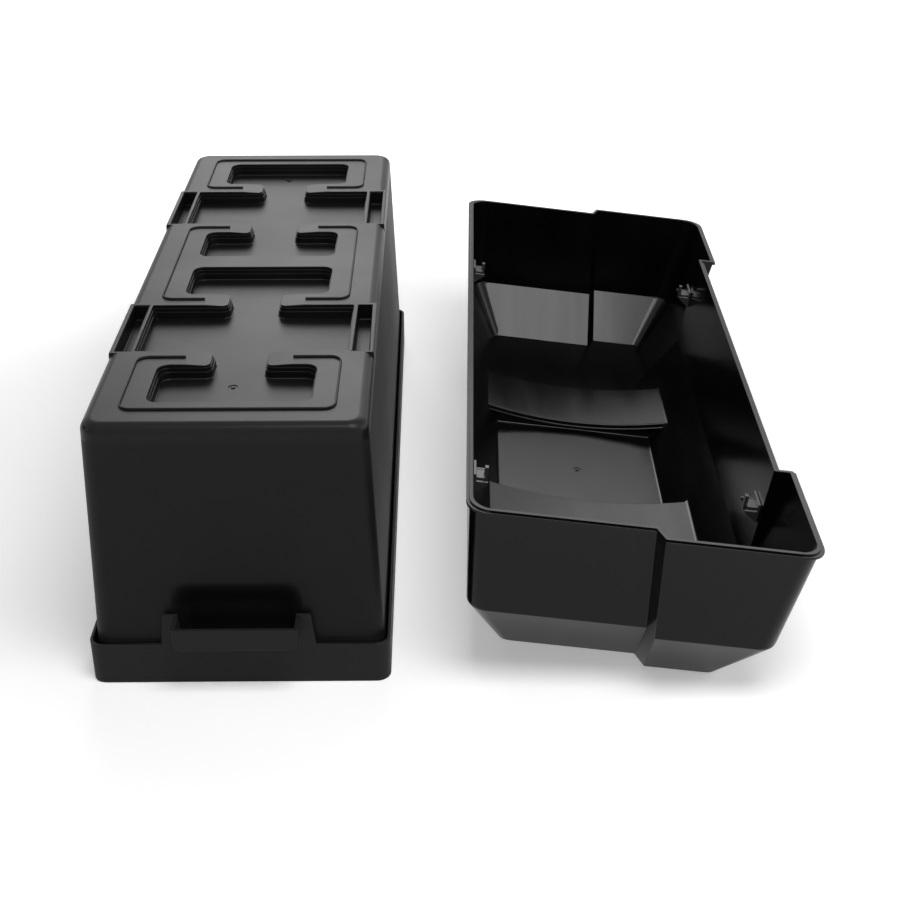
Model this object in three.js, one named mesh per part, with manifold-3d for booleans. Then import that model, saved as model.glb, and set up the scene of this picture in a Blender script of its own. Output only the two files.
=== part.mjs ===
// Double battery box: a deep tub for two batteries end to end, set down on its open mouth, and beside it
// the lid, set down with its mouth up. Millimetres, +Z up, X across the box and Y along it.
// The origin is under the middle of both pieces, on the surface that they stand on.
import * as THREE from 'three';
import { mergeVertices } from 'three/addons/utils/BufferGeometryUtils.js';
import Module from 'manifold-3d';

const wasm = await Module();
wasm.setup();

// Tub, measured with its base up.
const TUB_HEIGHT = 204;
const BASE_HALF = { x: 95, y: 284.5 };
const MOUTH_HALF = { x: 103.5, y: 288.2 };
const BASE_CORNER = 12;
const MOUTH_CORNER = 13;
const BASE_EDGE = { radius: 7, steps: 5 };
const WALL = 3;

// Skirt round the mouth, with its tabs and finger grips.
const SKIRT_HALF = { x: 106.4, y: 292.3 };
const SKIRT_HEIGHT = 33;
const SKIRT_WALL = 2.2;
const SKIRT_CORNER = 10;
const FLANGE_HEIGHT = 3.5;
const TAB = { footHalf: 54.5, topHalf: 51.5, height: 58.5 };
const GRIP = { topHalf: 44, lowHalf: 42.5, reach: 15, low: 38.5, top: 56, wall: 2.6, corner: 4.5 };

// Relief of the base. Its walls go down past two narrow ledges, each given by its depth and by how far
// the wall stands in from the one above.
const RELIEF_DEPTH = 10.8;
const RELIEF_LEDGES = [{ depth: 2.6, inset: 0.7 }, { depth: 5.4, inset: 1.5 }];
const RELIEF_RADII = { pocket: 8, throat: 5, slot: 1.5, least: 0.6 };
const CHANNEL = { near: 89, far: 171, half: 77 };
const THROAT_HALF = 20;
const POCKET_HALF = 56;
const MIDDLE_POCKET = { near: 12, far: 67.5 };
const END_POCKET = { near: 193.5, far: 251 };
const STRAP_SLOT = { inner: 80, outer: 91.4, depth: 12.6 };

// Beads that outline the plateaus of the base, open where a throat passes.
const BEAD = { width: 1.6, height: 1.6, halfX: 73.2, corner: 9, gapHalf: 38 };
const MIDDLE_BEAD = { near: -79, far: 79 };
const END_BEAD = { near: 181, far: 263 };

// The pads between a pocket and a channel slope down to the throat between them.
const PAD_TIP = { from: BEAD.gapHalf, drop: 1.2 };

// Round marks where the moulds were filled, each a shallow dish with a nub in it.
const GATE = { dish: 3.6, sunk: 0.5, nub: 1.5, rise: 0.8, steps: 20 };
const TUB_GATES = [[-2.5, -207.8], [-1, 233.5]];

// Lid, measured down from its rim; the two pods on its right side stand out past the rest.
const LID_DEPTH = 131;
const LID_KNEE = 82;
const LID_WALL = 2.6;
const LID_INSIDE = { knee: 85.5, kneeInset: 5.4, floorInset: 3.2 };
const JOG_RADIUS = 1.2;
const LID_LIP = { top: 1.1, height: 1.8, proud: 2 };
const LID_LEVELS = {
  rim: {
    left: 111.5, right: 112.4, pod: 124.2, length: 300.5, podLength: 313, jog: 201,
    step: [13.2, 18.2], corner: 14,
  },
  knee: {
    left: 103.5, right: 111.5, pod: 112.5, length: 298, podLength: 310, jog: 199,
    step: [21.3, 26.3], corner: 14,
  },
  floor: {
    left: 74.5, right: 73, pod: 84, length: 262, podLength: 276, jog: 178,
    step: [25.2, 31.2], corner: 7,
  },
};
const LID_GATE = [-1, -4.6];
const CHAMFER_PANEL = { left: -67.5, right: -23.5, rise: 24, thick: 0.6, corner: 5.5 };
const BAND = { near: 72, far: 138, middleDepth: 8, endDepth: 18.5, halfChord: 88, reach: 118, steps: 16 };

// How the lid lies: its middle beside the tub's, tipped down to the right and turned a little.
const LID_PLACE = { x: 279.2, y: -8.5 };
const LID_TIP = THREE.MathUtils.degToRad(6.75);
const LID_TURN = THREE.MathUtils.degToRad(-1.4);

// Clips inside the lid: a shelf that the tub's mouth lands on, two ribs beside it, and a peg behind it.
const CLIP = {
  near: -189, far: 207, shelfDepth: 37, ribDepth: 38, top: 32, bottom: 47, plate: 2, width: 21,
  shelfWidth: 12, ribWidth: 1.8, ribReach: 2, reach: 8.6, gap: 0.3,
  peg: { x: 2.8, y: 4, depth: 30.5, low: 42, overlap: 1 },
};

const CORNER_STEPS = 8;
const SMALL_CORNER_STEPS = 4;
const OVERCUT = 1;

// Plain material of one moulding.
function plastic(color, roughness) {
  return new THREE.MeshStandardMaterial({ color, roughness, metalness: 0 });
}

// A BufferGeometry as a solid that can be joined and cut.
function solid(geometry) {
  const bare = new THREE.BufferGeometry();
  bare.setAttribute('position', geometry.getAttribute('position').clone());
  if (geometry.index) bare.setIndex(geometry.index.clone());
  const merged = mergeVertices(bare, 1e-4);
  return new wasm.Manifold(new wasm.Mesh({
    numProp: 3,
    vertProperties: new Float32Array(merged.getAttribute('position').array),
    triVerts: new Uint32Array(merged.index.array),
  }));
}

// A solid as a BufferGeometry with flat faces.
function geometryOf(shape) {
  const mesh = shape.getMesh();
  const geometry = new THREE.BufferGeometry();
  geometry.setAttribute('position', new THREE.BufferAttribute(new Float32Array(mesh.vertProperties), 3));
  geometry.setIndex(new THREE.BufferAttribute(new Uint32Array(mesh.triVerts), 1));
  geometry.computeVertexNormals();
  return geometry;
}

// A box between two corners.
function block(low, high) {
  const size = high.map((value, axis) => value - low[axis]);
  const geometry = new THREE.BoxGeometry(...size);
  geometry.translate(...low.map((value, axis) => value + size[axis] / 2));
  return solid(geometry);
}

// The outline through the given corners, each rounded by its own radius.
function roundedOutline(corners, radii, steps = CORNER_STEPS) {
  const outline = [];
  corners.forEach((corner, index) => {
    const before = corners[(index + corners.length - 1) % corners.length];
    const after = corners[(index + 1) % corners.length];
    const toBefore = new THREE.Vector2().subVectors(before, corner).normalize();
    const toAfter = new THREE.Vector2().subVectors(after, corner).normalize();
    const half = Math.acos(THREE.MathUtils.clamp(toBefore.dot(toAfter), -1, 1)) / 2;
    const radius = radii[index];
    const reach = radius / Math.tan(half);
    const middle = new THREE.Vector2().addVectors(toBefore, toAfter).normalize();
    const centre = corner.clone().addScaledVector(middle, radius / Math.sin(half));
    const start = corner.clone().addScaledVector(toBefore, reach).sub(centre);
    const end = corner.clone().addScaledVector(toAfter, reach).sub(centre);
    const turn = Math.atan2(start.cross(end), start.dot(end));
    for (let step = 0; step <= steps; step += 1) {
      outline.push(start.clone().rotateAround(new THREE.Vector2(), turn * step / steps).add(centre));
    }
  });
  return outline;
}

// A rectangle about the middle, with rounded corners.
function rectangle(halfX, halfY, radius, steps = CORNER_STEPS) {
  const corners = [[-1, -1], [1, -1], [1, 1], [-1, 1]]
    .map(([x, y]) => new THREE.Vector2(x * halfX, y * halfY));
  return roundedOutline(corners, corners.map(() => radius), steps);
}

// A closed solid through outlines of equal point counts, given from the lowest to the highest.
function loft(levels) {
  const count = levels[0].outline.length;
  const positions = levels.flatMap(({ z, outline }) => outline.flatMap((point) => [point.x, point.y, z]));
  const index = [];
  for (let level = 0; level < levels.length - 1; level += 1) {
    for (let i = 0; i < count; i += 1) {
      const a = level * count + i;
      const b = level * count + (i + 1) % count;
      index.push(a, b, b + count, a, b + count, a + count);
    }
  }
  const cap = (level, up) => THREE.ShapeUtils.triangulateShape(levels[level].outline, [])
    .forEach(([a, b, c]) => {
      const face = up ? [a, b, c] : [c, b, a];
      index.push(...face.map((i) => i + level * count));
    });
  cap(0, false);
  cap(levels.length - 1, true);
  const geometry = new THREE.BufferGeometry();
  geometry.setAttribute('position', new THREE.Float32BufferAttribute(positions, 3));
  geometry.setIndex(index);
  return solid(geometry);
}

// A prism over an outline between two heights.
function prism(outline, low, high) {
  return loft([{ z: low, outline }, { z: high, outline }]);
}

// Corners of a right-angled outline, moved inward by a distance (counter-clockwise order).
function inset(corners, distance) {
  return corners.map((corner, index) => {
    const before = corners[(index + corners.length - 1) % corners.length];
    const after = corners[(index + 1) % corners.length];
    const incoming = new THREE.Vector2().subVectors(corner, before).normalize();
    const outgoing = new THREE.Vector2().subVectors(after, corner).normalize();
    return new THREE.Vector2(
      corner.x - (incoming.y + outgoing.y) * distance,
      corner.y + (incoming.x + outgoing.x) * distance,
    );
  });
}

// The tub's plan at a height, drawn in by a wall where the inside is wanted.
function tubLevel(z, drawIn = 0, shrink = 0) {
  const rise = z / TUB_HEIGHT;
  const mix = (mouth, base) => THREE.MathUtils.lerp(mouth, base, rise);
  const corner = mix(MOUTH_CORNER, BASE_CORNER) - drawIn - shrink / 2;
  return {
    z,
    outline: rectangle(
      mix(MOUTH_HALF.x, BASE_HALF.x) - drawIn - shrink,
      mix(MOUTH_HALF.y, BASE_HALF.y) - drawIn - shrink,
      corner,
    ),
  };
}

// The tub's outside as one solid block with a rounded edge round its base.
function tubBlock() {
  const { radius, steps } = BASE_EDGE;
  const levels = [tubLevel(0)];
  for (let step = 0; step <= steps; step += 1) {
    const angle = Math.PI / 2 * step / steps;
    const z = TUB_HEIGHT - radius * (1 - Math.sin(angle));
    levels.push(tubLevel(z, 0, radius * (1 - Math.cos(angle))));
  }
  return loft(levels);
}

// Corners of the sunken floor in one half of the base: the strap channel, and a pocket on either side
// of it that opens into it between two finger pads.
function reliefCorners(side) {
  const { near, far, half } = CHANNEL;
  const right = [
    [POCKET_HALF, MIDDLE_POCKET.near], [POCKET_HALF, MIDDLE_POCKET.far], [THROAT_HALF, MIDDLE_POCKET.far],
    [THROAT_HALF, near], [half, near], [half, far], [THROAT_HALF, far],
    [THROAT_HALF, END_POCKET.near], [POCKET_HALF, END_POCKET.near], [POCKET_HALF, END_POCKET.far],
  ];
  const left = right.map(([x, y]) => [-x, y]).reverse();
  const ring = [...right, ...left].map(([x, y]) => new THREE.Vector2(x, side * y));
  return side > 0 ? ring : ring.reverse();
}

// Each corner's radius, in the order of reliefCorners.
function reliefRadii(side) {
  const { pocket, throat, slot } = RELIEF_RADII;
  const right = [pocket, pocket, throat, throat, slot, slot, throat, throat, pocket, pocket];
  const ring = [...right, ...[...right].reverse()];
  return side > 0 ? ring : ring.reverse();
}

// The sunken floor as a cutter: its walls go down past the ledges.
function reliefCutter(side) {
  const corners = reliefCorners(side);
  const radii = reliefRadii(side);
  const top = TUB_HEIGHT + OVERCUT;
  const cut = (drawIn, depth) => prism(
    roundedOutline(inset(corners, drawIn), radii, SMALL_CORNER_STEPS),
    TUB_HEIGHT - depth,
    top,
  );
  const depths = [...RELIEF_LEDGES.map(({ depth }) => depth), RELIEF_DEPTH];
  const insets = [0, ...RELIEF_LEDGES.map((ledge) => ledge.inset)];
  return depths.map((depth, index) => cut(insets[index], depth)).reduce((whole, layer) => whole.add(layer));
}

// The same space larger by a wall all round, to be left out of the hollow inside.
function reliefShell(side) {
  const radii = reliefRadii(side).map((radius) => Math.max(radius - WALL, RELIEF_RADII.least));
  const outline = roundedOutline(inset(reliefCorners(side), -WALL), radii, SMALL_CORNER_STEPS);
  return prism(outline, TUB_HEIGHT - RELIEF_DEPTH - WALL, TUB_HEIGHT + OVERCUT);
}

// What is cut off the tips of the pads beside one throat.
function padTips(side) {
  const low = TUB_HEIGHT - PAD_TIP.drop;
  const tip = THROAT_HALF - OVERCUT;
  const spans = [[MIDDLE_POCKET.far, CHANNEL.near], [CHANNEL.far, END_POCKET.near]];
  return spans.flatMap((pad) => [-1, 1].map((hand) => {
    const along = pad.map((y) => side * y).sort((a, b) => a - b);
    const points = [[hand * PAD_TIP.from, TUB_HEIGHT], [hand * tip, low], [hand * tip, TUB_HEIGHT + OVERCUT],
      [hand * PAD_TIP.from, TUB_HEIGHT + OVERCUT]];
    return upright(hand > 0 ? points.reverse() : points, points.map(() => 0), along);
  }));
}

// A round mark of the mould on a level floor: its dish as a cutter, and its nub.
function gateMark([x, y], floor) {
  const { dish, sunk, nub, rise, steps } = GATE;
  const disc = (radius, low, high) => {
    const geometry = new THREE.CylinderGeometry(radius, radius, high - low, steps);
    geometry.rotateX(Math.PI / 2);
    geometry.translate(x, y, (low + high) / 2);
    return solid(geometry);
  };
  const bottom = floor - sunk;
  return { cut: disc(dish, bottom, floor + OVERCUT), nub: disc(nub, bottom - sunk, bottom + rise) };
}

// Pockets at the two ends of a strap channel, between its rib and the tub's side.
function strapSlots(side, growth = 0) {
  const { inner, outer, depth } = STRAP_SLOT;
  const slots = [-1, 1].map((hand) => {
    const reach = [hand * (inner - growth), hand * (outer + growth)].sort((a, b) => a - b);
    const along = [side * (CHANNEL.near - growth), side * (CHANNEL.far + growth)].sort((a, b) => a - b);
    return block(
      [reach[0], along[0], TUB_HEIGHT - depth - growth],
      [reach[1], along[1], TUB_HEIGHT + OVERCUT],
    );
  });
  return slots[0].add(slots[1]);
}

// The square shoulder that carries the tub's side up to the base beside each strap channel.
function strapShoulders(side) {
  const sharp = loft([tubLevel(TUB_HEIGHT - 3 * BASE_EDGE.radius), tubLevel(TUB_HEIGHT)]);
  const along = [side * (CHANNEL.near - WALL), side * (CHANNEL.far + WALL)].sort((a, b) => a - b);
  return [-1, 1].map((hand) => {
    const reach = [hand * (BASE_HALF.x - 2 * BASE_EDGE.radius), hand * MOUTH_HALF.x].sort((a, b) => a - b);
    return sharp.intersect(block([reach[0], along[0], 0], [reach[1], along[1], TUB_HEIGHT]));
  });
}

// A bead round a plateau from one end to the other, open at the given places.
function outlineBead(near, far, openAt) {
  const { width, height, halfX, corner, gapHalf } = BEAD;
  const middle = (near + far) / 2;
  const half = Math.abs(far - near) / 2;
  const low = TUB_HEIGHT - OVERCUT;
  const high = TUB_HEIGHT + height;
  const move = (outline) => outline.map((point) => point.clone().add(new THREE.Vector2(0, middle)));
  const ring = (drawIn, over) => prism(
    move(rectangle(halfX - drawIn, half - drawIn, corner - drawIn)),
    low - over,
    high + over,
  );
  return openAt.reduce((bead, y) => bead.subtract(block(
    [-gapHalf, y - 2 * width, low - OVERCUT],
    [gapHalf, y + 2 * width, high + OVERCUT],
  )), ring(0, 0).subtract(ring(width, OVERCUT)));
}

// A plate whose outline is given across the box and in height, between two places along it.
function upright(points, radii, [from, to]) {
  const outline = roundedOutline(points.map(([x, z]) => new THREE.Vector2(x, z)), radii, SMALL_CORNER_STEPS);
  const shape = new THREE.Shape(outline);
  const geometry = new THREE.ExtrudeGeometry(shape, { depth: to - from, bevelEnabled: false });
  geometry.rotateX(Math.PI / 2);
  geometry.translate(0, to, 0);
  return solid(geometry);
}

// The tab and finger grip on one end of the skirt.
function gripEnd(side) {
  const span = (a, b) => [side * a, side * b].sort((first, second) => first - second);
  const { footHalf, topHalf, height } = TAB;
  const plate = span(SKIRT_HALF.y - SKIRT_WALL, SKIRT_HALF.y);
  const tabPoints = [[-footHalf, 0], [footHalf, 0], [footHalf, SKIRT_HEIGHT], [topHalf, height],
    [-topHalf, height], [-footHalf, SKIRT_HEIGHT]];
  const tab = upright(tabPoints, tabPoints.map(() => 0), plate);
  const cup = (drawIn, top) => [[-GRIP.lowHalf + drawIn, GRIP.low + drawIn],
    [GRIP.lowHalf - drawIn, GRIP.low + drawIn], [GRIP.topHalf - drawIn, top], [-GRIP.topHalf + drawIn, top]];
  const round = (radius) => [radius, radius, 0, 0];
  const front = SKIRT_HALF.y + GRIP.reach;
  const shell = upright(cup(0, GRIP.top), round(GRIP.corner), span(SKIRT_HALF.y - SKIRT_WALL, front));
  const hollow = upright(
    cup(GRIP.wall, height + OVERCUT),
    round(GRIP.corner - GRIP.wall),
    span(MOUTH_HALF.y - OVERCUT, front - GRIP.wall),
  );
  return { body: tab.add(shell), hollow };
}

// Skirt: a collar that hangs from the mouth's flange, with a narrow gap between it and the tub's wall.
function skirt() {
  const outer = rectangle(SKIRT_HALF.x, SKIRT_HALF.y, SKIRT_CORNER);
  const inner = rectangle(SKIRT_HALF.x - SKIRT_WALL, SKIRT_HALF.y - SKIRT_WALL, SKIRT_CORNER - SKIRT_WALL);
  let collar = prism(outer, 0, SKIRT_HEIGHT);
  const ends = [-1, 1].map(gripEnd);
  ends.forEach(({ body }) => { collar = collar.add(body); });
  collar = collar.subtract(prism(inner, FLANGE_HEIGHT, TAB.height + 2 * OVERCUT));
  ends.forEach(({ hollow }) => { collar = collar.subtract(hollow); });
  return collar;
}

function tub() {
  let body = tubBlock();
  const halves = [-1, 1];
  halves.forEach((side) => {
    strapShoulders(side).forEach((shoulder) => { body = body.add(shoulder); });
    body = body.add(outlineBead(side * END_BEAD.near, side * END_BEAD.far, [side * END_BEAD.near]));
  });
  body = body.add(outlineBead(MIDDLE_BEAD.near, MIDDLE_BEAD.far, [MIDDLE_BEAD.near, MIDDLE_BEAD.far]));
  body = body.add(skirt());
  let inside = loft([tubLevel(-OVERCUT, WALL), tubLevel(TUB_HEIGHT - WALL, WALL)]);
  halves.forEach((side) => {
    body = body.subtract(reliefCutter(side)).subtract(strapSlots(side));
    padTips(side).forEach((tip) => { body = body.subtract(tip); });
    inside = inside.subtract(reliefShell(side)).subtract(strapSlots(side, WALL));
  });
  TUB_GATES.forEach((place) => {
    const { cut, nub } = gateMark(place, TUB_HEIGHT - RELIEF_DEPTH);
    body = body.subtract(cut).add(nub);
  });
  return body.subtract(inside);
}

// The lid's plan at a level: a rectangle whose two right-hand corners stand out as pods, each past a
// slanted step in the end wall.
function lidOutline({ left, right, pod, length, podLength, jog, step, corner }, drawIn = 0) {
  const leftX = left - drawIn;
  const x = right - drawIn;
  const podX = pod - drawIn;
  const y = length - drawIn;
  const podY = podLength - drawIn;
  const stepY = jog + drawIn;
  const [stepIn, stepOut] = step.map((value) => value + drawIn / 2);
  const quarter = [
    [x, stepY, JOG_RADIUS], [podX, stepY, JOG_RADIUS], [podX, podY, corner],
    [stepOut, podY, JOG_RADIUS], [stepIn, y, JOG_RADIUS], [-leftX, y, corner],
  ];
  const ring = [...quarter.map(([a, b, radius]) => [a, -b, radius]).reverse(), ...quarter];
  const corners = ring.map(([a, b]) => new THREE.Vector2(a, b));
  return roundedOutline(corners, ring.map((entry) => entry[2]), CORNER_STEPS);
}

// The strap's groove across the lid, crowned so that the strap bears all along it. A growth makes it
// larger all round for the hollowing.
function bandCutter(side, growth = 0) {
  const { near, far, middleDepth, endDepth, halfChord, reach, steps } = BAND;
  const sagitta = endDepth - middleDepth;
  const radius = (halfChord ** 2 + sagitta ** 2) / (2 * sagitta);
  const crown = -LID_DEPTH + middleDepth + growth;
  const shape = new THREE.Shape();
  shape.moveTo(-reach, -LID_DEPTH - OVERCUT);
  shape.lineTo(reach, -LID_DEPTH - OVERCUT);
  for (let step = 0; step <= steps; step += 1) {
    const x = reach * (1 - 2 * step / steps);
    shape.lineTo(x, crown + radius - Math.sqrt(radius ** 2 - x ** 2));
  }
  const length = far - near + 2 * growth;
  const geometry = new THREE.ExtrudeGeometry(shape, { depth: length, bevelEnabled: false });
  geometry.rotateX(Math.PI / 2);
  geometry.translate(0, side * (near + far) / 2 + length / 2, 0);
  return solid(geometry);
}

// A slightly raised panel at the foot of the far chamfer, inside the lid.
function chamferPanel() {
  const { left, right, rise, thick, corner } = CHAMFER_PANEL;
  const { knee, floor } = LID_LEVELS;
  const foot = { y: floor.length - LID_INSIDE.floorInset, z: -LID_DEPTH + LID_WALL };
  const head = { y: knee.length - LID_INSIDE.kneeInset, z: -LID_INSIDE.knee };
  const lean = Math.atan2(head.y - foot.y, head.z - foot.z);
  const points = [[left, 0], [right, 0], [right, rise], [left, rise]];
  return upright(points, [0, 0, corner, corner], [-thick, LID_WALL / 2])
    .rotate([-THREE.MathUtils.radToDeg(lean), 0, 0])
    .translate([0, foot.y, foot.z]);
}

// Half-width of the lid's inside at a depth, on its straight left or right wall.
function lidInside(hand, depth) {
  const { rim, knee } = LID_LEVELS;
  const wall = hand < 0 ? 'left' : 'right';
  const atKnee = knee[wall] - LID_INSIDE.kneeInset;
  return THREE.MathUtils.lerp(rim[wall] - LID_WALL, atKnee, depth / LID_INSIDE.knee);
}

// A rim clip on one long wall, about the lid's own middle.
function rimClip(hand, along) {
  const { shelfDepth, ribDepth, top, bottom, plate, width, shelfWidth, ribWidth } = CLIP;
  const { ribReach, reach, peg, gap } = CLIP;
  const wall = (depth) => lidInside(hand, depth) - gap;
  const bracket = (points, thickness, middle) => {
    const shape = new THREE.Shape(points.map(([x, depth]) => new THREE.Vector2(x, -depth)));
    const geometry = new THREE.ExtrudeGeometry(shape, { depth: thickness, bevelEnabled: false });
    geometry.rotateX(Math.PI / 2);
    geometry.translate(0, middle + thickness / 2, 0);
    return solid(geometry);
  };
  const back = [[wall(top), top], [wall(top) - plate, top], [wall(bottom) - plate, bottom],
    [wall(bottom), bottom]];
  const inner = wall(shelfDepth) - reach;
  const shelf = [[wall(shelfDepth), shelfDepth], [inner, shelfDepth], [inner, shelfDepth + plate],
    [wall(bottom) - plate / 2, bottom]];
  const rib = [[wall(ribDepth), ribDepth], [inner - ribReach, ribDepth], [inner - ribReach, ribDepth + plate],
    [wall(bottom) - plate / 2, bottom]];
  let clip = bracket(back, width, 0).add(bracket(shelf, shelfWidth, 0));
  [-1, 1].forEach((side) => {
    clip = clip.add(bracket(rib, ribWidth, side * (width - ribWidth) / 2));
  });
  const front = inner + peg.overlap;
  clip = clip.add(block([front - peg.x, -peg.y / 2, -peg.low], [front, peg.y / 2, -peg.depth]));
  const geometry = geometryOf(clip);
  if (hand < 0) geometry.rotateZ(Math.PI);
  geometry.translate(0, along, 0);
  return geometry;
}

function lid() {
  const { rim, knee, floor } = LID_LEVELS;
  const proud = { ...rim };
  ['left', 'right', 'pod', 'length', 'podLength'].forEach((key) => { proud[key] += LID_LIP.proud; });
  let body = loft([
    { z: -LID_DEPTH, outline: lidOutline(floor) },
    { z: -LID_KNEE, outline: lidOutline(knee) },
    { z: 0, outline: lidOutline(rim) },
  ]);
  body = body.add(prism(lidOutline(proud), -LID_LIP.top - LID_LIP.height, -LID_LIP.top));
  let inside = loft([
    { z: -LID_DEPTH + LID_WALL, outline: lidOutline(floor, LID_INSIDE.floorInset) },
    { z: -LID_INSIDE.knee, outline: lidOutline(knee, LID_INSIDE.kneeInset) },
    { z: OVERCUT, outline: lidOutline(rim, LID_WALL) },
  ]);
  [-1, 1].forEach((side) => {
    body = body.subtract(bandCutter(side));
    inside = inside.subtract(bandCutter(side, LID_WALL));
  });
  const gate = gateMark(LID_GATE, -LID_DEPTH + LID_WALL);
  return body.subtract(inside).add(chamferPanel()).subtract(gate.cut).add(gate.nub);
}

function named(name, geometry, material) {
  const mesh = new THREE.Mesh(geometry, material);
  mesh.name = name;
  return mesh;
}

const box = new THREE.Group();
box.name = 'double_battery_box';
box.add(named('box_tub', geometryOf(tub()), plastic(0x1d1d1f, 0.45)));

const lidGroup = new THREE.Group();
const lidBlack = plastic(0x1a1a1c, 0.4);
lidGroup.add(named('deep_lid', geometryOf(lid()), lidBlack));
[['left', -1], ['right', 1]].forEach(([handName, hand]) => {
  ['near', 'far'].forEach((endName) => {
    lidGroup.add(named(`rim_clip_${endName}_${handName}`, rimClip(hand, CLIP[endName]), lidBlack));
  });
});
lidGroup.rotation.set(0, LID_TIP, LID_TURN, 'ZYX');
lidGroup.position.set(LID_PLACE.x, LID_PLACE.y, 0);
box.add(lidGroup);

// Stand the lid on its lowest edge, and put the origin under the middle of the whole.
box.updateMatrixWorld(true);
lidGroup.position.z = -new THREE.Box3().setFromObject(lidGroup, true).min.z;
box.updateMatrixWorld(true);
const centre = new THREE.Box3().setFromObject(box, true).getCenter(new THREE.Vector3());
box.position.set(-centre.x, -centre.y, 0);

export default box;
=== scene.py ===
# Looks of the double battery box: an upturned tub and its deep lid, in satin black plastic.
import math

import bmesh
import bpy
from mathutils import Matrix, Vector


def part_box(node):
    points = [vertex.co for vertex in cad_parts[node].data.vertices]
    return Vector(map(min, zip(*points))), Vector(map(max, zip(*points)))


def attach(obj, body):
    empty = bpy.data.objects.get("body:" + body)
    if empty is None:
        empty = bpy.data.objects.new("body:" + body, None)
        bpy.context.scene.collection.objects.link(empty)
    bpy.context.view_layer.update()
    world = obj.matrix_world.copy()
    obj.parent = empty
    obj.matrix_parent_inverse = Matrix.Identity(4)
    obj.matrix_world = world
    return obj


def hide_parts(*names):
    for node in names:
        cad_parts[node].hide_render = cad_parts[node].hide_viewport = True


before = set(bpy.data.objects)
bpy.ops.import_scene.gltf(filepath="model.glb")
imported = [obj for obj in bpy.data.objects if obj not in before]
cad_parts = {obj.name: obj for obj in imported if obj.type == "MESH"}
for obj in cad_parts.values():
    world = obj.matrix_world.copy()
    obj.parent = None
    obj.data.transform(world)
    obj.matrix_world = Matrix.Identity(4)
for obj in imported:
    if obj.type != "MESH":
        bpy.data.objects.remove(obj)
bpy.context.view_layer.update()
print("stage: frame loaded")

mm = 0.001


def middleOf(node):
    low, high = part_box(node)
    return (Vector(low) + Vector(high)) / 2


# camera

cameraSettings = {
    "fromTub": (139.8 * mm, -1125.9 * mm),
    "height": 655 * mm,
    "tilt": 29.2,
    "turn": -0.6,
    "lens": 58.56,
    "sensor": 36.0,
}


def makeCamera(settings):
    data = bpy.data.cameras.new("photoCamera")
    data.lens = settings["lens"]
    data.sensor_width = settings["sensor"]
    data.sensor_fit = "HORIZONTAL"
    camera = bpy.data.objects.new("photoCamera", data)
    tub = middleOf("box_tub")
    across, along = settings["fromTub"]
    camera.location = (tub.x + across, tub.y + along, settings["height"])
    camera.rotation_euler = (math.radians(90 - settings["tilt"]), 0, math.radians(settings["turn"]))
    bpy.context.scene.collection.objects.link(camera)
    bpy.context.scene.camera = camera
    return camera


makeCamera(cameraSettings)
print("stage: camera set")


# node helpers for materials

def addNode(tree, kind, **values):
    node = tree.nodes.new(kind)
    for name, value in values.items():
        setattr(node, name, value)
    return node


def objectPattern(tree, scale, stretch=(1, 1, 1), **inputs):
    coords = addNode(tree, "ShaderNodeTexCoord")
    mapping = addNode(tree, "ShaderNodeMapping")
    mapping.inputs["Scale"].default_value = stretch
    pattern = addNode(tree, "ShaderNodeTexNoise")
    pattern.inputs["Scale"].default_value = scale
    for name, value in inputs.items():
        pattern.inputs[name].default_value = value
    tree.links.new(coords.outputs["Object"], mapping.inputs["Vector"])
    tree.links.new(mapping.outputs["Vector"], pattern.inputs["Vector"])
    return pattern


def ramp(tree, source, stops):
    node = addNode(tree, "ShaderNodeValToRGB")
    elements = node.color_ramp.elements
    while len(elements) > len(stops):
        elements.remove(elements[-1])
    while len(elements) < len(stops):
        elements.new(1.0)
    for element, (place, color) in zip(elements, stops):
        element.position = place
        element.color = (*color, 1)
    tree.links.new(source, node.inputs["Fac"])
    return node


def grey(value):
    return (value, value, value)


def calculate(tree, operation, *values):
    # a math node, whose values are sockets or numbers
    node = addNode(tree, "ShaderNodeMath", operation=operation)
    for index, value in enumerate(values):
        if isinstance(value, bpy.types.NodeSocket):
            tree.links.new(value, node.inputs[index])
        else:
            node.inputs[index].default_value = value
    return node.outputs["Value"]


def placeOnPiece(tree):
    coords = addNode(tree, "ShaderNodeTexCoord")
    parts = addNode(tree, "ShaderNodeSeparateXYZ")
    tree.links.new(coords.outputs["Object"], parts.inputs["Vector"])
    return parts.outputs


def sheenPaintedPlaces(tree, settings):
    # 1 below the collar's upper edge, and on what stands out past the end walls: the places of the painted
    # sheen
    place = placeOnPiece(tree)
    below = calculate(tree, "LESS_THAN", place["Z"], settings["collarEdge"])
    offset = calculate(tree, "SUBTRACT", place["Y"], middleOf("box_tub").y)
    beyond = calculate(tree, "GREATER_THAN", calculate(tree, "ABSOLUTE", offset), settings["wallReach"])
    return calculate(tree, "MAXIMUM", below, beyond)


def sidesOnly(tree, settings):
    # the walls read duller than the upturned base in the photograph
    below = calculate(tree, "LESS_THAN", placeOnPiece(tree)["Z"], settings["sidesBelow"])
    return calculate(tree, "MULTIPLY", below, settings["sidesDuller"])


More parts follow.
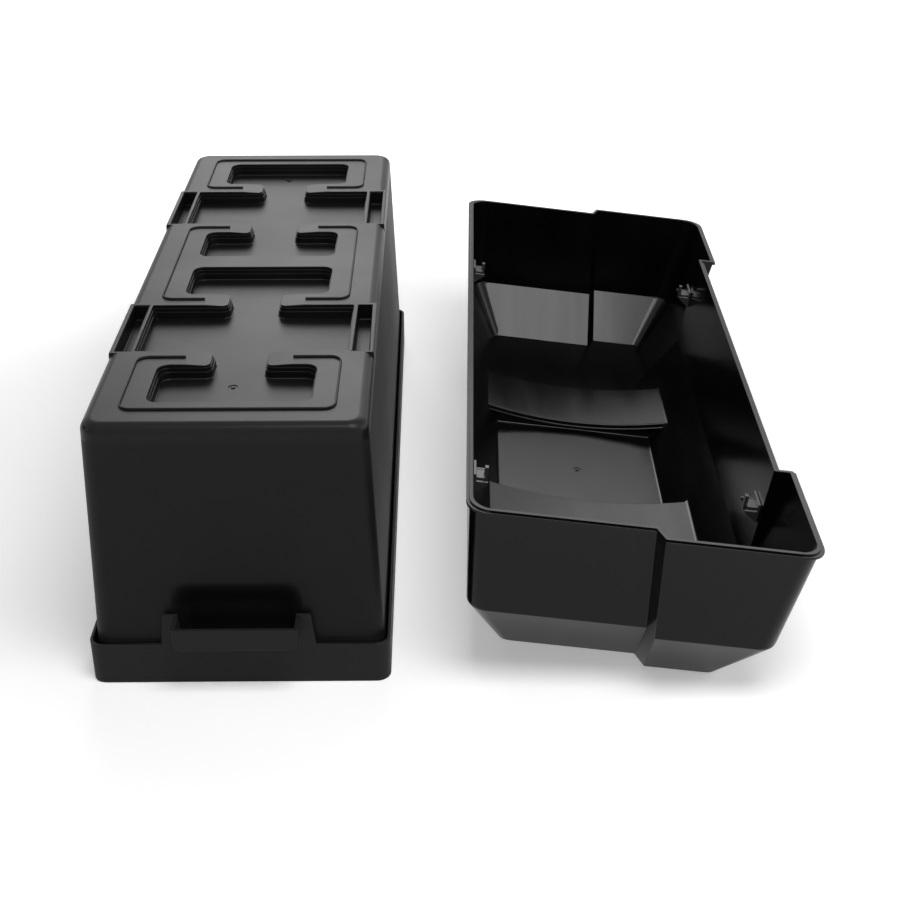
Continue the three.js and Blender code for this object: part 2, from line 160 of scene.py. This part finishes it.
def mouldedPlastic(name, settings):
    material = bpy.data.materials.new(name)
    material.use_nodes = True
    tree = material.node_tree
    shader = tree.nodes["Principled BSDF"]
    shader.inputs["Specular IOR Level"].default_value = settings["specular"]
    shader.inputs["IOR"].default_value = 1.49
    dark, light = settings["color"]
    cloud = objectPattern(tree, settings["cloudScale"], Detail=4.0, Roughness=0.6)
    tint = ramp(tree, cloud.outputs["Fac"], [(0.3, dark), (0.7, light)])
    # painted sheen: the collar and the grips get a paler base colour that stands in for their reflection of
    # the floor
    if "collarPaintedSheen" in settings:
        paintedSheen = calculate(tree, "MULTIPLY_ADD", sheenPaintedPlaces(tree, settings), settings["collarPaintedSheen"],
                          tint.outputs["Color"])
        tree.links.new(paintedSheen, shader.inputs["Base Color"])
    else:
        tree.links.new(tint.outputs["Color"], shader.inputs["Base Color"])
    # flow marks of the moulding, drawn out along the pull of the tool
    flow = objectPattern(tree, settings["flowScale"], stretch=settings["flowStretch"], Detail=5.0,
                         Roughness=0.55)
    gloss = ramp(tree, flow.outputs["Fac"],
                 [(0.25, grey(settings["roughness"][0])), (0.75, grey(settings["roughness"][1]))])
    dulled = calculate(tree, "ADD", gloss.outputs["Color"], sidesOnly(tree, settings))
    tree.links.new(dulled, shader.inputs["Roughness"])
    # fine grain of the surface, and a faint wave of the wall
    grain = objectPattern(tree, settings["grainScale"], Detail=3.0, Roughness=0.7)
    wave = objectPattern(tree, settings["waveScale"], Detail=1.0)
    grainBump = addNode(tree, "ShaderNodeBump")
    grainBump.inputs["Strength"].default_value = settings["grain"]
    grainBump.inputs["Distance"].default_value = settings["grainDepth"]
    waveBump = addNode(tree, "ShaderNodeBump")
    waveBump.inputs["Strength"].default_value = settings["wave"]
    waveBump.inputs["Distance"].default_value = settings["waveDepth"]
    tree.links.new(grain.outputs["Fac"], grainBump.inputs["Height"])
    tree.links.new(wave.outputs["Fac"], waveBump.inputs["Height"])
    tree.links.new(waveBump.outputs["Normal"], grainBump.inputs["Normal"])
    tree.links.new(grainBump.outputs["Normal"], shader.inputs["Normal"])
    return material


tubFinish = {
    "color": (grey(0.0015), grey(0.003)),
    "specular": 0.16,
    "roughness": (0.36, 0.44),
    "sidesBelow": 191 * mm,
    "sidesDuller": 0.16,
    "cloudScale": 14.0,
    "flowScale": 9.0,
    "flowStretch": (1.0, 1.0, 0.25),
    "grainScale": 2600.0,
    "grain": 0.35,
    "grainDepth": 0.05 * mm,
    "waveScale": 7.0,
    "wave": 0.25,
    "waveDepth": 1.2 * mm,
}
lidFinish = {
    **tubFinish,
    "color": (grey(0.001), grey(0.002)),
    "specular": 0.2,
    "roughness": (0.13, 0.24),
    "sidesDuller": 0.0,
    "flowScale": 45.0,
    "flowStretch": (1.0, 0.12, 0.12),
}
clipFinish = {
    **lidFinish,
    "color": (grey(0.03), grey(0.045)),
    "specular": 0.5,
    "roughness": (0.22, 0.3),
    "wave": 0.0,
}

# painted sheen, a painted reflection of the floor on the collar and the grips
paintedCollarSheen = {"collarPaintedSheen": 0.009, "collarEdge": 34 * mm, "wallReach": 289.8 * mm}

tubPlastic = mouldedPlastic("tubPlastic", {**tubFinish, **paintedCollarSheen})
lidPlastic = mouldedPlastic("lidPlastic", lidFinish)
clipPlastic = mouldedPlastic("clipPlastic", clipFinish)
print("stage: materials made")


# skins of the mouldings

# room that a rounding needs, in times its own width
roomNeeded = {"length": 1.5, "breadth": 3, "neighbour": 1.2, "passes": 6}
cleaning = {"sameCorner": 0.002 * mm, "flatWithin": 0.6, "sameRoundedCorner": 0.004 * mm, "smoothWithin": 24}


def link(name, mesh, material):
    piece = bpy.data.objects.new(name, mesh)
    bpy.context.scene.collection.objects.link(piece)
    mesh.materials.clear()
    mesh.materials.append(material)
    return piece


def freeze(piece):
    depsgraph = bpy.context.evaluated_depsgraph_get()
    mesh = bpy.data.meshes.new_from_object(piece.evaluated_get(depsgraph))
    old = piece.data
    piece.modifiers.clear()
    piece.data = mesh
    bpy.data.meshes.remove(old)
    return piece


def sharpEdges(shape, angle):
    return [edge for edge in shape.edges
            if len(edge.link_faces) == 2 and edge.calc_face_angle(0) > math.radians(angle)]


def breadth(face, edge):
    # a long winding strip is as broad as twice its area over its outline
    if len(face.verts) < 5:
        return face.calc_area() / edge.calc_length()
    return 2 * face.calc_area() / face.calc_perimeter()


def withRoom(edges, width):
    # an edge stays sharp where it ends at details smaller than its rounding
    kept = {edge for edge in edges if edge.calc_length() > roomNeeded["length"] * width
            and min(breadth(face, edge) for face in edge.link_faces) > roomNeeded["breadth"] * width}
    for _ in range(roomNeeded["passes"]):
        kept = {edge for edge in kept
                if all(other in kept or other.calc_length() > roomNeeded["neighbour"] * width
                       for end in edge.verts for other in end.link_edges)}
    return kept


def chains(edges):
    left = set(edges)
    while left:
        reached, chain = [left.pop()], []
        while reached:
            edge = reached.pop()
            chain.append(edge)
            near = {other for end in edge.verts for other in end.link_edges} & left
            left -= near
            reached.extend(near)
        yield chain


def roundEdges(shape, angle, width):
    segments = 4 if width > 0.5 * mm else 3
    for chain in list(chains(withRoom(sharpEdges(shape, angle), width))):
        bmesh.ops.bevel(shape, geom=[edge for edge in chain if edge.is_valid], offset=width,
                        offset_type="OFFSET", segments=segments, profile=0.5, affect="EDGES",
                        clamp_overlap=False, loop_slide=True, material=-1)
    bmesh.ops.remove_doubles(shape, verts=shape.verts, dist=cleaning["sameRoundedCorner"])


def shadeMoulding(mesh, bend):
    # broad faces stay flat, and the small ones beside them turn smoothly into them
    mesh.shade_smooth()
    shape = bmesh.new()
    shape.from_mesh(mesh)
    pull = {face: face.normal * face.calc_area() ** 2 for face in shape.faces}
    alike = math.cos(math.radians(bend))
    normals = []
    for face in shape.faces:
        for corner in face.loops:
            near = [pull[other] for other in corner.vert.link_faces if other.normal.dot(face.normal) > alike]
            normals.append(sum(near, Vector()).normalized())
    mesh.normals_split_custom_set(normals)
    shape.free()


def gridLines(low, high, step):
    count = max(2, round((high - low) / step))
    return [low + (high - low) * index / count for index in range(count + 1)]


def fade(value, none, full):
    share = min(1.0, max(0.0, (value - none) / (full - none)))
    return share * share * (3 - 2 * share)


def fingerScoops(shape, settings, middle):
    # both end walls go inwards behind the grips, outside and inside alike
    def wallFaces():
        near, far = settings["walls"]
        return [face for face in shape.faces if abs(face.normal.y) > 0.6
                and all(near < abs(corner.co.y - middle.y) < far for corner in face.verts)]

    half, (low, high), step = settings["halfWidth"], settings["heights"], settings["step"]
    cuts = [((middle.x + place, 0, 0), (1, 0, 0)) for place in gridLines(-half, half, step)]
    cuts += [((0, 0, height), (0, 0, 1)) for height in gridLines(low, high, step)]
    for place, direction in cuts:
        faces = wallFaces()
        parts = {part for face in faces for part in (*face.verts, *face.edges, face)}
        bmesh.ops.bisect_plane(shape, geom=list(parts), plane_co=place, plane_no=direction, dist=0.01 * mm)
    for vertex in {corner for face in wallFaces() for corner in face.verts}:
        across = fade(half - abs(vertex.co.x - middle.x), 0, settings["sideFade"])
        below = fade(high - vertex.co.z, 0, settings["topFade"])
        above = fade(vertex.co.z - low, 0, settings["lowFade"])
        vertex.co.y -= math.copysign(settings["depth"] * across * below * above, vertex.co.y - middle.y)


def cleanShape(node, planedTo=None):
    # the node's surface without doubled corners and without edges inside its flat faces
    shape = bmesh.new()
    shape.from_mesh(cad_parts[node].data)
    bmesh.ops.remove_doubles(shape, verts=shape.verts, dist=cleaning["sameCorner"])
    if planedTo is not None:  # what stands above this height comes back as a piece of its own
        for vertex in shape.verts:
            vertex.co.z = min(vertex.co.z, planedTo)
        bmesh.ops.remove_doubles(shape, verts=shape.verts, dist=cleaning["sameCorner"])
    bmesh.ops.dissolve_limit(shape, angle_limit=math.radians(cleaning["flatWithin"]),
                             verts=shape.verts, edges=shape.edges)
    return shape


def mouldedSkin(name, node, material, roundings, planedTo=None, scoops=None):
    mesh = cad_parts[node].data.copy()
    shape = cleanShape(node, planedTo)
    for width in roundings["widths"]:
        roundEdges(shape, roundings["sharperThan"], width)
    if scoops:
        fingerScoops(shape, scoops, middleOf(node))
    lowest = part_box(node)[0][2]
    for vertex in shape.verts:
        vertex.co.z = max(vertex.co.z, lowest)
    shape.to_mesh(mesh)
    shape.free()
    piece = link(name, mesh, material)
    shadeMoulding(mesh, cleaning["smoothWithin"])
    return piece


# the broadest folds first, then what has less room
tubRoundings = {"sharperThan": 23, "widths": (1.0 * mm, 0.6 * mm, 0.35 * mm, 0.2 * mm)}
lidRoundings = {"sharperThan": 12, "widths": (1.5 * mm, 0.7 * mm, 0.35 * mm)}
clipRoundings = {"sharperThan": 28, "widths": (0.3 * mm,)}

beadSettings = {
    "width": 146.4 * mm - 1.6 * mm,
    "endLength": 82 * mm - 1.6 * mm,
    "endMiddle": 222 * mm,
    "middleLength": 158 * mm - 1.6 * mm,
    "corner": 8.2 * mm,
    "gap": 38 * mm,
    "gapReach": 200 * mm,
    "beadHalfWidth": 0.8 * mm,
    "beadHeight": 1.6 * mm,
    "step": 1.5 * mm,
}
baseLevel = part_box("box_tub")[1][2] - beadSettings["beadHeight"]

scoopSettings = {
    "walls": (278 * mm, 289.6 * mm),
    "halfWidth": 46.5 * mm,
    "heights": (12 * mm, 83 * mm),
    "step": 2.4 * mm,
    "depth": 10 * mm,
    "sideFade": 13 * mm,
    "topFade": 24 * mm,
    "lowFade": 30 * mm,
}

tubSkin = mouldedSkin("tubMoulding", "box_tub", tubPlastic, tubRoundings,
                      planedTo=baseLevel, scoops=scoopSettings)
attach(tubSkin, "tub")
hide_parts("box_tub")


def addInput(tree, name, kind):
    tree.interface.new_socket(name=name, in_out="INPUT", socket_type=kind)


def finishTree(tree, inputs, geometry):
    real = addNode(tree, "GeometryNodeRealizeInstances")
    tree.links.new(geometry, real.inputs["Geometry"])
    painted = addNode(tree, "GeometryNodeSetMaterial")
    tree.links.new(real.outputs["Geometry"], painted.inputs["Geometry"])
    tree.links.new(inputs.outputs["Plastic"], painted.inputs["Material"])
    result = addNode(tree, "NodeGroupOutput")
    tree.links.new(painted.outputs["Geometry"], result.inputs["Geometry"])
    return tree


def sweptPiece(name, mesh, tree, values):
    piece = bpy.data.objects.new(name, mesh)
    bpy.context.scene.collection.objects.link(piece)
    modifier = piece.modifiers.new(name, "NODES")
    modifier.node_group = tree
    for item in tree.interface.items_tree:
        if item.in_out == "INPUT" and item.name in values:
            modifier[item.identifier] = values[item.name]
    freeze(piece)
    piece.data.shade_smooth()
    return piece


def outlinePath(tree, inputs, length, middle):
    frameCurve = addNode(tree, "GeometryNodeCurvePrimitiveQuadrilateral")
    tree.links.new(inputs.outputs["Width"], frameCurve.inputs["Width"])
    tree.links.new(inputs.outputs[length], frameCurve.inputs["Height"])
    rounded = addNode(tree, "GeometryNodeFilletCurve", mode="POLY")
    rounded.inputs["Count"].default_value = 8
    tree.links.new(frameCurve.outputs["Curve"], rounded.inputs["Curve"])
    tree.links.new(inputs.outputs["Corner"], rounded.inputs["Radius"])
    if middle == 0:
        return rounded.outputs["Curve"]
    place = addNode(tree, "ShaderNodeCombineXYZ")
    scaled = calculate(tree, "MULTIPLY", inputs.outputs["End Middle"], middle)
    tree.links.new(scaled, place.inputs["Y"])
    moved = addNode(tree, "GeometryNodeTransform")
    tree.links.new(rounded.outputs["Curve"], moved.inputs["Geometry"])
    tree.links.new(place.outputs["Vector"], moved.inputs["Translation"])
    return moved.outputs["Geometry"]


def plateauBeadTree():
    tree = bpy.data.node_groups.new("plateauBeads", "GeometryNodeTree")
    tree.interface.new_socket(name="Geometry", in_out="OUTPUT", socket_type="NodeSocketGeometry")
    for name in ("Width", "End Length", "End Middle", "Middle Length", "Corner", "Gap", "Gap Reach",
                 "Bead Half Width", "Bead Height", "Step"):
        addInput(tree, name, "NodeSocketFloat")
    addInput(tree, "Place", "NodeSocketVector")
    addInput(tree, "Plastic", "NodeSocketMaterial")
    inputs = addNode(tree, "NodeGroupInput")
    paths = addNode(tree, "GeometryNodeJoinGeometry")
    for length, middle in (("End Length", -1), ("Middle Length", 0), ("End Length", 1)):
        tree.links.new(outlinePath(tree, inputs, length, middle), paths.inputs["Geometry"])
    # even points, then the part of each path that crosses a throat is taken out
    even = addNode(tree, "GeometryNodeResampleCurve", mode="LENGTH")
    tree.links.new(paths.outputs["Geometry"], even.inputs["Curve"])
    tree.links.new(inputs.outputs["Step"], even.inputs["Length"])
    line = addNode(tree, "GeometryNodeCurveToMesh")
    tree.links.new(even.outputs["Curve"], line.inputs["Curve"])
    where = addNode(tree, "GeometryNodeInputPosition")
    parts = addNode(tree, "ShaderNodeSeparateXYZ")
    tree.links.new(where.outputs["Position"], parts.inputs["Vector"])
    inGap = addNode(tree, "FunctionNodeBooleanMath", operation="AND")
    for index, (axis, limit) in enumerate((("X", "Gap"), ("Y", "Gap Reach"))):
        size = calculate(tree, "ABSOLUTE", parts.outputs[axis])
        tree.links.new(calculate(tree, "LESS_THAN", size, inputs.outputs[limit]), inGap.inputs[index])
    cut = addNode(tree, "GeometryNodeDeleteGeometry", domain="POINT")
    tree.links.new(line.outputs["Mesh"], cut.inputs["Geometry"])
    tree.links.new(inGap.outputs["Boolean"], cut.inputs["Selection"])
    open_ = addNode(tree, "GeometryNodeMeshToCurve")
    tree.links.new(cut.outputs["Geometry"], open_.inputs["Mesh"])
    upright = addNode(tree, "GeometryNodeSetCurveNormal", mode="Z_UP")
    tree.links.new(open_.outputs["Curve"], upright.inputs["Curve"])
    # half-oval section, its lower half inside the base
    section = addNode(tree, "GeometryNodeCurvePrimitiveCircle")
    section.inputs["Resolution"].default_value = 16
    section.inputs["Radius"].default_value = 1.0
    oval = addNode(tree, "ShaderNodeCombineXYZ")
    tree.links.new(inputs.outputs["Bead Half Width"], oval.inputs["X"])
    tree.links.new(inputs.outputs["Bead Height"], oval.inputs["Y"])
    oval.inputs["Z"].default_value = 1.0
    squeezed = addNode(tree, "GeometryNodeTransform")
    tree.links.new(section.outputs["Curve"], squeezed.inputs["Geometry"])
    tree.links.new(oval.outputs["Vector"], squeezed.inputs["Scale"])
    sweep = addNode(tree, "GeometryNodeCurveToMesh")
    sweep.inputs["Fill Caps"].default_value = True
    tree.links.new(upright.outputs["Curve"], sweep.inputs["Curve"])
    tree.links.new(squeezed.outputs["Geometry"], sweep.inputs["Profile Curve"])
    placed = addNode(tree, "GeometryNodeTransform")
    tree.links.new(sweep.outputs["Mesh"], placed.inputs["Geometry"])
    tree.links.new(inputs.outputs["Place"], placed.inputs["Translation"])
    return finishTree(tree, inputs, placed.outputs["Geometry"])


def plateauBeads(settings, material):
    tub = middleOf("box_tub")
    values = {
        "Width": settings["width"],
        "End Length": settings["endLength"],
        "End Middle": settings["endMiddle"],
        "Middle Length": settings["middleLength"],
        "Corner": settings["corner"],
        "Gap": settings["gap"],
        "Gap Reach": settings["gapReach"],
        "Bead Half Width": settings["beadHalfWidth"],
        "Bead Height": settings["beadHeight"],
        "Step": settings["step"],
        "Place": (tub.x, tub.y, baseLevel),
        "Plastic": material,
    }
    return sweptPiece("plateauBeads", bpy.data.meshes.new("plateauBeads"), plateauBeadTree(), values)


beads = plateauBeads(beadSettings, tubPlastic)
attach(beads, "tub")
print("stage: tub done, its beads have", len(beads.data.polygons), "faces")

lipSettings = {
    "radius": 1.3 * mm,
    "offset": (0, -0.6 * mm, -4.4 * mm),
    "step": 5 * mm,
    "piece": (8 * mm, 20 * mm),
    "below": 60 * mm,
}


def bandEdges(settings):
    # the crowned near edges of the two strap bands, where their tops meet their near walls
    shape = cleanShape("deep_lid")
    shortest, longest = settings["piece"]
    wanted = [edge for edge in shape.edges if len(edge.link_faces) == 2
              and shortest < edge.calc_length() < longest
              and all(corner.co.z < settings["below"] for corner in edge.verts)
              and max(face.normal.z for face in edge.link_faces) > 0.85
              and min(face.normal.y for face in edge.link_faces) < -0.99]
    corners = sorted({corner for edge in wanted for corner in edge.verts}, key=lambda corner: corner.index)
    places = {corner: index for index, corner in enumerate(corners)}
    offset = Vector(settings["offset"])
    lines = [[places[corner] for corner in edge.verts] for edge in wanted]
    mesh = bpy.data.meshes.new("bandEdges")
    mesh.from_pydata([corner.co + offset for corner in corners], lines, [])
    shape.free()
    return mesh


def rolledLipTree():
    tree = bpy.data.node_groups.new("rolledLip", "GeometryNodeTree")
    tree.interface.new_socket(name="Geometry", in_out="INPUT", socket_type="NodeSocketGeometry")
    tree.interface.new_socket(name="Geometry", in_out="OUTPUT", socket_type="NodeSocketGeometry")
    addInput(tree, "Radius", "NodeSocketFloat")
    addInput(tree, "Step", "NodeSocketFloat")
    addInput(tree, "Plastic", "NodeSocketMaterial")
    inputs = addNode(tree, "NodeGroupInput")
    path = addNode(tree, "GeometryNodeMeshToCurve")
    tree.links.new(inputs.outputs["Geometry"], path.inputs["Mesh"])
    smooth = addNode(tree, "GeometryNodeCurveSplineType", spline_type="CATMULL_ROM")
    tree.links.new(path.outputs["Curve"], smooth.inputs["Curve"])
    even = addNode(tree, "GeometryNodeResampleCurve", mode="LENGTH")
    tree.links.new(smooth.outputs["Curve"], even.inputs["Curve"])
    tree.links.new(inputs.outputs["Step"], even.inputs["Length"])
    section = addNode(tree, "GeometryNodeCurvePrimitiveCircle")
    section.inputs["Resolution"].default_value = 14
    tree.links.new(inputs.outputs["Radius"], section.inputs["Radius"])
    sweep = addNode(tree, "GeometryNodeCurveToMesh")
    sweep.inputs["Fill Caps"].default_value = True
    tree.links.new(even.outputs["Curve"], sweep.inputs["Curve"])
    tree.links.new(section.outputs["Curve"], sweep.inputs["Profile Curve"])
    return finishTree(tree, inputs, sweep.outputs["Mesh"])


def bandLips(settings, material):
    values = {"Radius": settings["radius"], "Step": settings["step"], "Plastic": material}
    return sweptPiece("bandLips", bandEdges(settings), rolledLipTree(), values)


lidSkin = mouldedSkin("lidMoulding", "deep_lid", lidPlastic, lidRoundings)
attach(lidSkin, "lid")
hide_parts("deep_lid")
lips = bandLips(lipSettings, lidPlastic)
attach(lips, "lid")
print("stage: the bands' lips have", len(lips.data.polygons), "faces")
print("stage: lid done")

for node in sorted(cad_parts):
    if not node.startswith("rim_clip"):
        continue
    clip = mouldedSkin(node.replace("rim_clip", "clip"), node, clipPlastic, clipRoundings)
    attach(clip, "lid")
    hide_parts(node)
print("stage: clips done")


# floor and light

floorSettings = {
    "size": 12.0,
    "paper": 0.9,
    "roughness": 0.9,
    "specular": 0.1,
    "lift": 0.34,
    "farLift": 1.0,
    "liftGrows": (0.38, 0.85),
}

studio = {
    "ambient": (1, 1, 1),
    "ambientStrength": 0.02,
    "lamps": {
        "backHighLeft": {
            "place": (-0.4, 2.3, 1.8), "aim": (-0.4, 0, 0.1),
            "size": (0.8, 0.8), "power": 10.5,
        },
        "backHighRight": {
            "place": (0.8, 2.3, 1.8), "aim": (0.8, 0, 0.1),
            "size": (1.6, 0.8), "power": 9.0,
        },
        "backMiddle": {
            "place": (-0.4, 2.3, 1.1), "aim": (-0.4, 0, 0.1),
            "size": (0.8, 0.6), "power": 4.2,
        },
        "lidSoftbox": {
            "place": (0.22, -0.62, 1.25), "aim": (0.11, 0.28, 0.05),
            "size": (0.68, 0.6), "power": 11.8,
        },
        "leftSoftbox": {
            "place": (-2.2, -0.2, 1.0), "aim": (0, 0, 0.1),
            "size": (2.0, 1.4), "power": 4.5,
        },
        "rightSoftbox": {
            "place": (2.2, -0.2, 1.0), "aim": (0, 0, 0.1),
            "size": (2.0, 1.4), "power": 19,
        },
        "frontSoftbox": {
            "place": (0, -2.4, 1.0), "aim": (0, 0, 0.1),
            "size": (3.0, 1.2), "power": 6,
        },
    },
}


def seenDirectly(tree):
    # 1 for camera, mirror and glass rays, 0 for the light that falls on the pieces
    rays = addNode(tree, "ShaderNodeLightPath")
    value = rays.outputs["Is Camera Ray"]
    for kind in ("Is Glossy Ray", "Is Transmission Ray"):
        value = calculate(tree, "MAXIMUM", value, rays.outputs[kind])
    return value


def liftByDistance(tree, settings):
    # the paper's glow grows with its distance from the pieces, up to white
    coords = addNode(tree, "ShaderNodeTexCoord")
    distance = addNode(tree, "ShaderNodeVectorMath", operation="LENGTH")
    tree.links.new(coords.outputs["Object"], distance.inputs[0])
    grown = addNode(tree, "ShaderNodeMapRange", interpolation_type="SMOOTHSTEP")
    grown.inputs["From Min"].default_value, grown.inputs["From Max"].default_value = settings["liftGrows"]
    grown.inputs["To Min"].default_value = settings["lift"]
    grown.inputs["To Max"].default_value = settings["farLift"]
    tree.links.new(distance.outputs["Value"], grown.inputs["Value"])
    return grown.outputs["Result"]


def makeFloor(settings):
    size = settings["size"]
    mesh = bpy.data.meshes.new("floor")
    corners = [(-size, -size, 0), (size, -size, 0), (size, size, 0), (-size, size, 0)]
    mesh.from_pydata(corners, [], [(0, 1, 2, 3)])
    material = bpy.data.materials.new("paperFloor")
    material.use_nodes = True
    tree = material.node_tree
    shader = tree.nodes["Principled BSDF"]
    shader.inputs["Base Color"].default_value = (*grey(settings["paper"]), 1)
    shader.inputs["Roughness"].default_value = settings["roughness"]
    shader.inputs["Specular IOR Level"].default_value = settings["specular"]
    # the paper is lifted to white where the camera sees it, and keeps the shadows
    shader.inputs["Emission Color"].default_value = (1, 1, 1, 1)
    lift = calculate(tree, "MULTIPLY", seenDirectly(tree), liftByDistance(tree, settings))
    tree.links.new(lift, shader.inputs["Emission Strength"])
    floor = link("floor", mesh, material)
    return floor


def makeWorld(settings):
    world = bpy.data.worlds.new("studio")
    bpy.context.scene.world = world
    world.use_nodes = True
    tree = world.node_tree
    background = tree.nodes["Background"]
    background.inputs["Color"].default_value = (*settings["ambient"], 1)
    background.inputs["Strength"].default_value = settings["ambientStrength"]
    seen = addNode(tree, "ShaderNodeBackground")
    seen.inputs["Color"].default_value = (1, 1, 1, 1)
    mix = addNode(tree, "ShaderNodeMixShader")
    tree.links.new(seenDirectly(tree), mix.inputs["Fac"])
    tree.links.new(background.outputs["Background"], mix.inputs[1])
    tree.links.new(seen.outputs["Background"], mix.inputs[2])
    tree.links.new(mix.outputs["Shader"], tree.nodes["World Output"].inputs["Surface"])


def makeLamp(name, settings):
    data = bpy.data.lights.new(name, "AREA")
    data.shape = "RECTANGLE"
    data.size, data.size_y = settings["size"]
    data.energy = settings["power"]
    lamp = bpy.data.objects.new(name, data)
    lamp.location = settings["place"]
    aim = Vector(settings["aim"]) - Vector(settings["place"])
    lamp.rotation_euler = aim.to_track_quat("-Z", "Y").to_euler()
    bpy.context.scene.collection.objects.link(lamp)
    return lamp


makeFloor(floorSettings)
makeWorld(studio)
for name, settings in studio["lamps"].items():
    makeLamp(name, settings)
print("stage: light set")

bpy.context.scene.view_settings.view_transform = "Standard"
